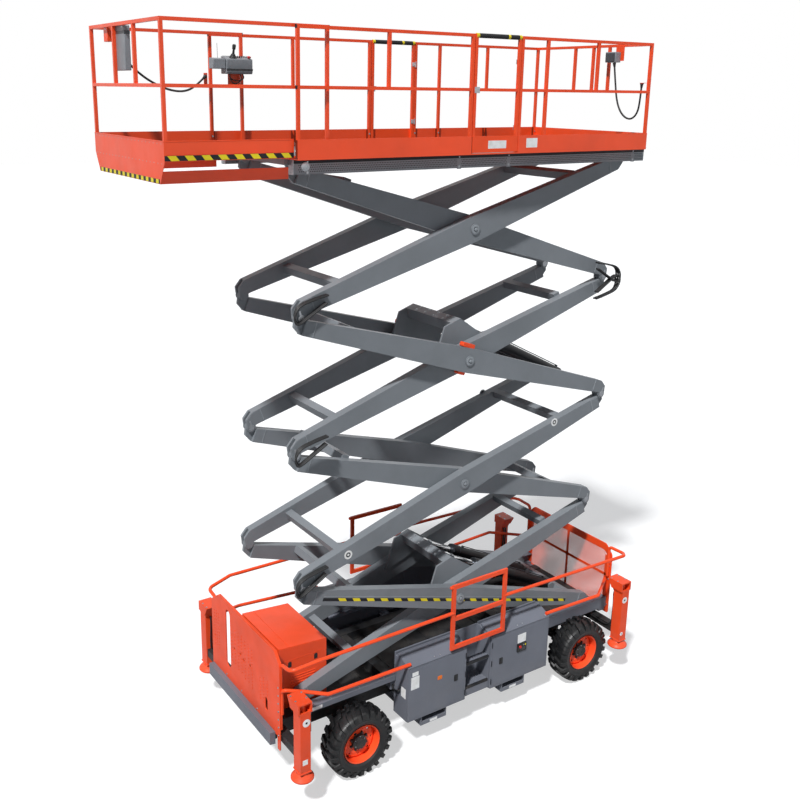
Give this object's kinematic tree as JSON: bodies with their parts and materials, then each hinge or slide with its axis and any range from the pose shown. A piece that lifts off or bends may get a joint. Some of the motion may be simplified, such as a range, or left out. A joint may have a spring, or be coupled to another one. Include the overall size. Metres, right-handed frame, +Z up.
{
  "type": "rough-terrain scissor lift",
  "caption": "Self-propelled rough-terrain scissor lift with lug tyres, outriggers, crossed lifting arms and a railed platform with a roll-out deck.",
  "frame": {"origin": "centre of the bounding box on the ground, under the machine", "axes": "+X forward to the roll-out deck's end, +Y the machine's left, +Z up; ground at z = 0"},
  "size_m": [6.219, 2.668, 8.1579],
  "materials": {
    "orange_paint": "gloss powder coat",
    "grey_paint": "satin powder coat",
    "arm_paint": "satin powder coat",
    "black_paint": "satin black",
    "tyre": "moulded rubber",
    "rod_chrome": "hard chrome",
    "box_plastic": "moulded",
    "black_plastic": "moulded"
  },
  "bodies": {
    "chassis": {"chassis_frame": "grey_paint", "chassis_tracks": "grey_paint", "front_axle": "black_paint", "rear_axle": "black_paint", "cabinets": "grey_paint", "steps": "grey_paint", "guard_rails": "orange_paint", "outrigger_housings": "orange_paint", "fork_pockets": "grey_paint", "hood": "orange_paint", "engine": "black_paint", "front_guard_plate": "orange_paint", "front_bumper": "grey_paint", "rear_guard_panel": "orange_paint"},
    "left_knuckle": {"left_knuckle": "black_paint"},
    "front_left_wheel": {"front_left_tyre": "tyre", "front_left_rim": "orange_paint", "front_left_hub": "black_paint"},
    "rear_left_wheel": {"rear_left_tyre": "tyre", "rear_left_rim": "orange_paint", "rear_left_hub": "black_paint"},
    "right_knuckle": {"right_knuckle": "black_paint"},
    "front_right_wheel": {"front_right_tyre": "tyre", "front_right_rim": "orange_paint", "front_right_hub": "black_paint"},
    "rear_right_wheel": {"rear_right_tyre": "tyre", "rear_right_rim": "orange_paint", "rear_right_hub": "black_paint"},
    "front_left_cabinet_door": {"front_left_cabinet_door": "grey_paint"},
    "rear_left_cabinet_door": {"rear_left_cabinet_door": "grey_paint"},
    "front_left_outrigger_leg": {"front_left_outrigger_leg": "orange_paint"},
    "rear_left_outrigger_leg": {"rear_left_outrigger_leg": "orange_paint"},
    "front_right_cabinet_door": {"front_right_cabinet_door": "grey_paint"},
    "rear_right_cabinet_door": {"rear_right_cabinet_door": "grey_paint"},
    "front_right_outrigger_leg": {"front_right_outrigger_leg": "orange_paint"},
    "rear_right_outrigger_leg": {"rear_right_outrigger_leg": "orange_paint"},
    "hood_lid": {"hood_lid": "orange_paint"},
    "inner_arms_1": {"inner_arms_1": "arm_paint"},
    "outer_arms_1": {"outer_arms_1": "arm_paint"},
    "inner_arms_2": {"inner_arms_2": "arm_paint"},
    "outer_arms_2": {"outer_arms_2": "arm_paint"},
    "inner_arms_3": {"inner_arms_3": "arm_paint"},
    "outer_arms_3": {"outer_arms_3": "arm_paint"},
    "inner_arms_4": {"inner_arms_4": "arm_paint"},
    "outer_arms_4": {"outer_arms_4": "arm_paint"},
    "platform": {"platform_deck": "orange_paint", "platform_rails": "orange_paint", "rear_box": "box_plastic", "rear_cable": "black_plastic"},
    "lower_cylinder_barrels": {"lower_cylinder_barrels": "black_paint"},
    "lower_cylinder_rods": {"lower_cylinder_rods": "rod_chrome"},
    "upper_cylinder_barrels": {"upper_cylinder_barrels": "black_paint"},
    "upper_cylinder_rods": {"upper_cylinder_rods": "rod_chrome"},
    "left_gate": {"left_gate": "orange_paint"},
    "right_gate": {"right_gate": "orange_paint"},
    "extension": {"extension": "orange_paint", "control_boxes": "box_plastic", "front_cable": "black_plastic"}
  },
  "joints": [
    {"name": "left_steer", "type": "hinge", "parent": "chassis", "child": "left_knuckle", "pos_m": [1.11452, 0.925, 0.419], "axis": [0, 0, 1], "range_deg": [-30, 30]},
    {"name": "front_left_wheel_spin", "type": "hinge", "parent": "left_knuckle", "child": "front_left_wheel", "pos_m": [1.11452, 0.99, 0.419], "axis": [0, 1, 0], "continuous": true},
    {"name": "rear_left_wheel_spin", "type": "hinge", "parent": "chassis", "child": "rear_left_wheel", "pos_m": [-2.37348, 0.99, 0.419], "axis": [0, 1, 0], "continuous": true},
    {"name": "right_steer", "type": "hinge", "parent": "chassis", "child": "right_knuckle", "pos_m": [1.11452, -0.925, 0.419], "axis": [0, 0, 1], "range_deg": [-30, 30]},
    {"name": "front_right_wheel_spin", "type": "hinge", "parent": "right_knuckle", "child": "front_right_wheel", "pos_m": [1.11452, -0.99, 0.419], "axis": [0, 1, 0], "continuous": true},
    {"name": "rear_right_wheel_spin", "type": "hinge", "parent": "chassis", "child": "rear_right_wheel", "pos_m": [-2.37348, -0.99, 0.419], "axis": [0, 1, 0], "continuous": true},
    {"name": "front_left_cabinet_door_hinge", "type": "hinge", "parent": "chassis", "child": "front_left_cabinet_door", "pos_m": [0.46652, 1.085, 0.79], "axis": [0, 0, -1], "range_deg": [0, 95]},
    {"name": "rear_left_cabinet_door_hinge", "type": "hinge", "parent": "chassis", "child": "rear_left_cabinet_door", "pos_m": [-1.72548, 1.085, 0.79], "axis": [0, 0, 1], "range_deg": [0, 95]},
    {"name": "front_left_outrigger_leg_slide", "type": "slide", "parent": "chassis", "child": "front_left_outrigger_leg", "axis": [0, 0, -1], "range_m": [0, 0.4]},
    {"name": "rear_left_outrigger_leg_slide", "type": "slide", "parent": "chassis", "child": "rear_left_outrigger_leg", "axis": [0, 0, -1], "range_m": [0, 0.4]},
    {"name": "front_right_cabinet_door_hinge", "type": "hinge", "parent": "chassis", "child": "front_right_cabinet_door", "pos_m": [0.46652, -1.085, 0.79], "axis": [0, 0, 1], "range_deg": [0, 95]},
    {"name": "rear_right_cabinet_door_hinge", "type": "hinge", "parent": "chassis", "child": "rear_right_cabinet_door", "pos_m": [-1.72548, -1.085, 0.79], "axis": [0, 0, -1], "range_deg": [0, 95]},
    {"name": "front_right_outrigger_leg_slide", "type": "slide", "parent": "chassis", "child": "front_right_outrigger_leg", "axis": [0, 0, -1], "range_m": [0, 0.4]},
    {"name": "rear_right_outrigger_leg_slide", "type": "slide", "parent": "chassis", "child": "rear_right_outrigger_leg", "axis": [0, 0, -1], "range_m": [0, 0.4]},
    {"name": "hood_lid_hinge", "type": "hinge", "parent": "chassis", "child": "hood_lid", "pos_m": [1.82302, 0, 1.33], "axis": [0, 1, 0], "range_deg": [0, 70]},
    {"name": "lift", "type": "hinge", "parent": "chassis", "child": "inner_arms_1", "pos_m": [1.64152, 0, 0.807], "axis": [0, 1, 0], "range_deg": [-14.1, 31.3]},
    {"name": "cross_1", "type": "hinge", "parent": "inner_arms_1", "child": "outer_arms_1", "pos_m": [-0.56648, 0, 1.5645], "axis": [0, 1, 0], "range_deg": [-62.6, 28.2]},
    {"name": "link_1", "type": "hinge", "parent": "outer_arms_1", "child": "outer_arms_2", "pos_m": [1.64152, 0, 2.322], "axis": [0, 1, 0], "range_deg": [-28.2, 62.6]},
    {"name": "cross_2", "type": "hinge", "parent": "outer_arms_2", "child": "inner_arms_2", "pos_m": [-0.56648, 0, 3.0795], "axis": [0, 1, 0], "range_deg": [-62.6, 28.2]},
    {"name": "link_2", "type": "hinge", "parent": "inner_arms_2", "child": "inner_arms_3", "pos_m": [1.64152, 0, 3.837], "axis": [0, 1, 0], "range_deg": [-28.2, 62.6]},
    {"name": "cross_3", "type": "hinge", "parent": "inner_arms_3", "child": "outer_arms_3", "pos_m": [-0.56648, 0, 4.5945], "axis": [0, 1, 0], "range_deg": [-62.6, 28.2]},
    {"name": "link_3", "type": "hinge", "parent": "outer_arms_3", "child": "outer_arms_4", "pos_m": [1.64152, 0, 5.352], "axis": [0, 1, 0], "range_deg": [-28.2, 62.6]},
    {"name": "cross_4", "type": "hinge", "parent": "outer_arms_4", "child": "inner_arms_4", "pos_m": [-0.56648, 0, 6.1095], "axis": [0, 1, 0], "range_deg": [-62.6, 28.2]},
    {"name": "platform_pivot", "type": "hinge", "parent": "inner_arms_4", "child": "platform", "pos_m": [1.64152, 0, 6.867], "axis": [0, 1, 0], "range_deg": [-14.1, 31.3]},
    {"name": "lower_cylinder_foot", "type": "hinge", "parent": "outer_arms_1", "child": "lower_cylinder_barrels", "pos_m": [-2.5129, 0, 0.98132], "axis": [0, 1, 0], "range_deg": [-1.27, 2.81]},
    {"name": "lower_cylinder_stroke", "type": "slide", "parent": "lower_cylinder_barrels", "child": "lower_cylinder_rods", "axis": [0.8934, 0, 0.4493], "range_m": [-0.15278, 0.33902]},
    {"name": "upper_cylinder_foot", "type": "hinge", "parent": "outer_arms_3", "child": "upper_cylinder_barrels", "pos_m": [-2.5129, 0, 4.01132], "axis": [0, 1, 0], "range_deg": [-1.27, 2.81]},
    {"name": "upper_cylinder_stroke", "type": "slide", "parent": "upper_cylinder_barrels", "child": "upper_cylinder_rods", "axis": [0.8934, 0, 0.4493], "range_m": [-0.15278, 0.33902]},
    {"name": "left_gate_hinge", "type": "hinge", "parent": "platform", "child": "left_gate", "pos_m": [-0.87748, 0.94, 7.5445], "axis": [0, 0, -1], "range_deg": [0, 90]},
    {"name": "right_gate_hinge", "type": "hinge", "parent": "platform", "child": "right_gate", "pos_m": [-0.87748, -0.94, 7.5445], "axis": [0, 0, 1], "range_deg": [0, 90]},
    {"name": "extension_slide", "type": "slide", "parent": "platform", "child": "extension", "axis": [1, 0, 0], "range_m": [-1.25, 0.25]}
  ],
  "couplings": [
    {"joint": "right_steer", "follows": "left_steer", "ratio": 1},
    {"joint": "cross_1", "follows": "lift", "ratio": -2},
    {"joint": "link_1", "follows": "lift", "ratio": 2},
    {"joint": "cross_2", "follows": "lift", "ratio": -2},
    {"joint": "link_2", "follows": "lift", "ratio": 2},
    {"joint": "cross_3", "follows": "lift", "ratio": -2},
    {"joint": "link_3", "follows": "lift", "ratio": 2},
    {"joint": "cross_4", "follows": "lift", "ratio": -2},
    {"joint": "platform_pivot", "follows": "lift", "ratio": 1},
    {"joint": "lower_cylinder_foot", "follows": "lift", "ratio": 0.08989},
    {"joint": "lower_cylinder_stroke", "follows": "lift", "m_per_rad": 0.6204},
    {"joint": "upper_cylinder_foot", "follows": "lift", "ratio": 0.08989},
    {"joint": "upper_cylinder_stroke", "follows": "lift", "m_per_rad": 0.6204}
  ]
}
